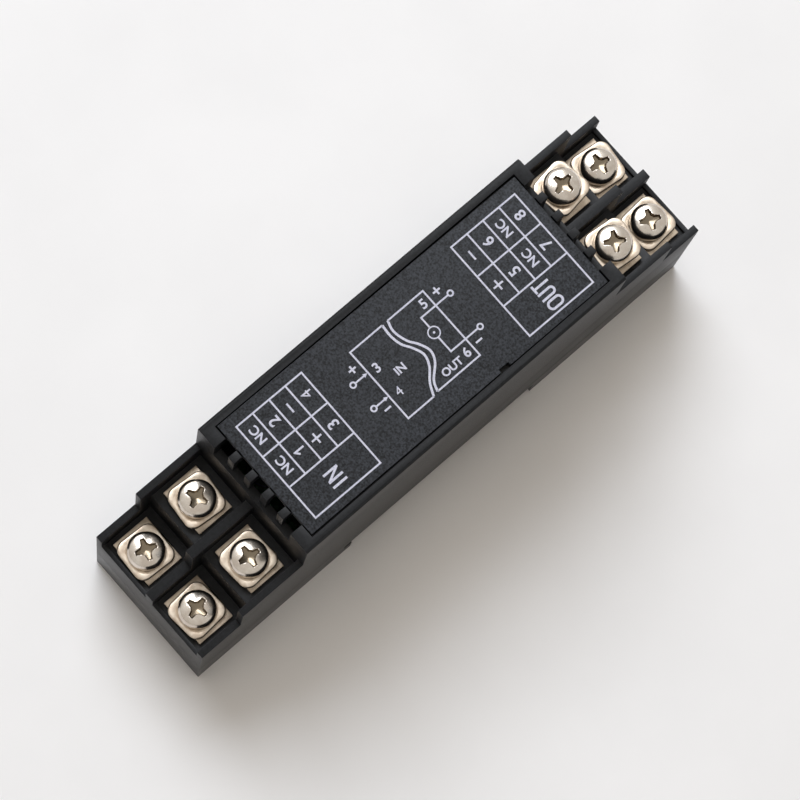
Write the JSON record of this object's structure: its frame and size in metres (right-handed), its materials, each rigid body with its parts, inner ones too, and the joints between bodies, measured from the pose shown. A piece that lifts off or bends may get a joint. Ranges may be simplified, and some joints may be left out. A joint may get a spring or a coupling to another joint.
{
  "type": "signal isolator",
  "caption": "Slim rail-mounted signal isolator: black housing with a raised label plate, vent combs and stepped rows of screw terminals at both ends.",
  "frame": {"origin": "centre of the back face that meets the panel", "axes": "+Z out of the label's face, +Y towards the input terminals, +X along the label's reading direction"},
  "size_m": [0.0226, 0.0946, 0.04],
  "materials": {
    "black_plastic": "fine moulded texture",
    "label_plate": "grained",
    "ink": "printed",
    "latch_plastic": "smooth",
    "spring_steel": "drawn wire",
    "board": "solder mask",
    "ferrite": "ground",
    "bobbin_plastic": "moulded resin",
    "copper_wire": "enamelled",
    "capacitor_sleeve": "shrunk sleeve",
    "chip_resin": "moulded",
    "terminal_metal": "nickel plated",
    "washer_metal": "nickel plated",
    "screw_metal": "nickel plated"
  },
  "bodies": {
    "housing": {"case": "black_plastic", "foot": "black_plastic", "label_plate": "label_plate", "label_print": "ink", "latch_spring": "spring_steel", "circuit_board": "board", "transformer_core": "ferrite", "transformer_bobbin": "bobbin_plastic", "transformer_winding": "copper_wire", "input_capacitor": "capacitor_sleeve", "output_capacitor": "capacitor_sleeve", "input_chip": "chip_resin", "isolation_chip": "chip_resin", "output_chip": "chip_resin", "chip_resistors": "chip_resin", "terminal_1": "terminal_metal", "terminal_2": "terminal_metal", "terminal_3": "terminal_metal", "terminal_4": "terminal_metal", "terminal_5": "terminal_metal", "terminal_6": "terminal_metal", "terminal_7": "terminal_metal", "terminal_8": "terminal_metal"},
    "latch": {"rail_latch": "latch_plastic"},
    "washer_1": {"clamp_washer_1": "washer_metal"},
    "screw_1": {"terminal_screw_1": "screw_metal"},
    "washer_2": {"clamp_washer_2": "washer_metal"},
    "screw_2": {"terminal_screw_2": "screw_metal"},
    "washer_3": {"clamp_washer_3": "washer_metal"},
    "screw_3": {"terminal_screw_3": "screw_metal"},
    "washer_4": {"clamp_washer_4": "washer_metal"},
    "screw_4": {"terminal_screw_4": "screw_metal"},
    "washer_5": {"clamp_washer_5": "washer_metal"},
    "screw_5": {"terminal_screw_5": "screw_metal"},
    "washer_6": {"clamp_washer_6": "washer_metal"},
    "screw_6": {"terminal_screw_6": "screw_metal"},
    "washer_7": {"clamp_washer_7": "washer_metal"},
    "screw_7": {"terminal_screw_7": "screw_metal"},
    "washer_8": {"clamp_washer_8": "washer_metal"},
    "screw_8": {"terminal_screw_8": "screw_metal"}
  },
  "joints": [
    {"name": "latch_slide", "type": "slide", "parent": "housing", "child": "latch", "axis": [0, -1, 0], "range_m": [0, 0.003], "stiffness_N_per_m": 900, "springref_m": -0.004, "deforming": ["latch_spring"]},
    {"name": "screw_1_lift", "type": "slide", "parent": "housing", "child": "washer_1", "axis": [0, 0, 1], "range_m": [0, 0.0025]},
    {"name": "screw_1_turn", "type": "hinge", "parent": "washer_1", "child": "screw_1", "pos_m": [-0.00545, 0.04315, 0.0191], "axis": [0, 0, 1], "range_deg": [0, 1800]},
    {"name": "screw_2_lift", "type": "slide", "parent": "housing", "child": "washer_2", "axis": [0, 0, 1], "range_m": [0, 0.0025]},
    {"name": "screw_2_turn", "type": "hinge", "parent": "washer_2", "child": "screw_2", "pos_m": [0.00545, 0.04315, 0.0191], "axis": [0, 0, 1], "range_deg": [0, 1800]},
    {"name": "screw_3_lift", "type": "slide", "parent": "housing", "child": "washer_3", "axis": [0, 0, 1], "range_m": [0, 0.0025]},
    {"name": "screw_3_turn", "type": "hinge", "parent": "washer_3", "child": "screw_3", "pos_m": [-0.00545, 0.03405, 0.0275], "axis": [0, 0, 1], "range_deg": [0, 1800]},
    {"name": "screw_4_lift", "type": "slide", "parent": "housing", "child": "washer_4", "axis": [0, 0, 1], "range_m": [0, 0.0025]},
    {"name": "screw_4_turn", "type": "hinge", "parent": "washer_4", "child": "screw_4", "pos_m": [0.00545, 0.03405, 0.0275], "axis": [0, 0, 1], "range_deg": [0, 1800]},
    {"name": "screw_5_lift", "type": "slide", "parent": "housing", "child": "washer_5", "axis": [0, 0, 1], "range_m": [-0.002, 0.0005]},
    {"name": "screw_5_turn", "type": "hinge", "parent": "washer_5", "child": "screw_5", "pos_m": [-0.00545, -0.03405, 0.0295], "axis": [0, 0, 1], "range_deg": [-1440, 360]},
    {"name": "screw_6_lift", "type": "slide", "parent": "housing", "child": "washer_6", "axis": [0, 0, 1], "range_m": [-0.002, 0.0005]},
    {"name": "screw_6_turn", "type": "hinge", "parent": "washer_6", "child": "screw_6", "pos_m": [0.00545, -0.03405, 0.0295], "axis": [0, 0, 1], "range_deg": [-1440, 360]},
    {"name": "screw_7_lift", "type": "slide", "parent": "housing", "child": "washer_7", "axis": [0, 0, 1], "range_m": [0, 0.0025]},
    {"name": "screw_7_turn", "type": "hinge", "parent": "washer_7", "child": "screw_7", "pos_m": [-0.00545, -0.04315, 0.0191], "axis": [0, 0, 1], "range_deg": [0, 1800]},
    {"name": "screw_8_lift", "type": "slide", "parent": "housing", "child": "washer_8", "axis": [0, 0, 1], "range_m": [0, 0.0025]},
    {"name": "screw_8_turn", "type": "hinge", "parent": "washer_8", "child": "screw_8", "pos_m": [0.00545, -0.04315, 0.0191], "axis": [0, 0, 1], "range_deg": [0, 1800]}
  ],
  "couplings": [
    {"joint": "screw_1_turn", "follows": "screw_1_lift", "rad_per_m": 12566},
    {"joint": "screw_2_turn", "follows": "screw_2_lift", "rad_per_m": 12566},
    {"joint": "screw_3_turn", "follows": "screw_3_lift", "rad_per_m": 12566},
    {"joint": "screw_4_turn", "follows": "screw_4_lift", "rad_per_m": 12566},
    {"joint": "screw_5_turn", "follows": "screw_5_lift", "rad_per_m": 12566},
    {"joint": "screw_6_turn", "follows": "screw_6_lift", "rad_per_m": 12566},
    {"joint": "screw_7_turn", "follows": "screw_7_lift", "rad_per_m": 12566},
    {"joint": "screw_8_turn", "follows": "screw_8_lift", "rad_per_m": 12566}
  ]
}
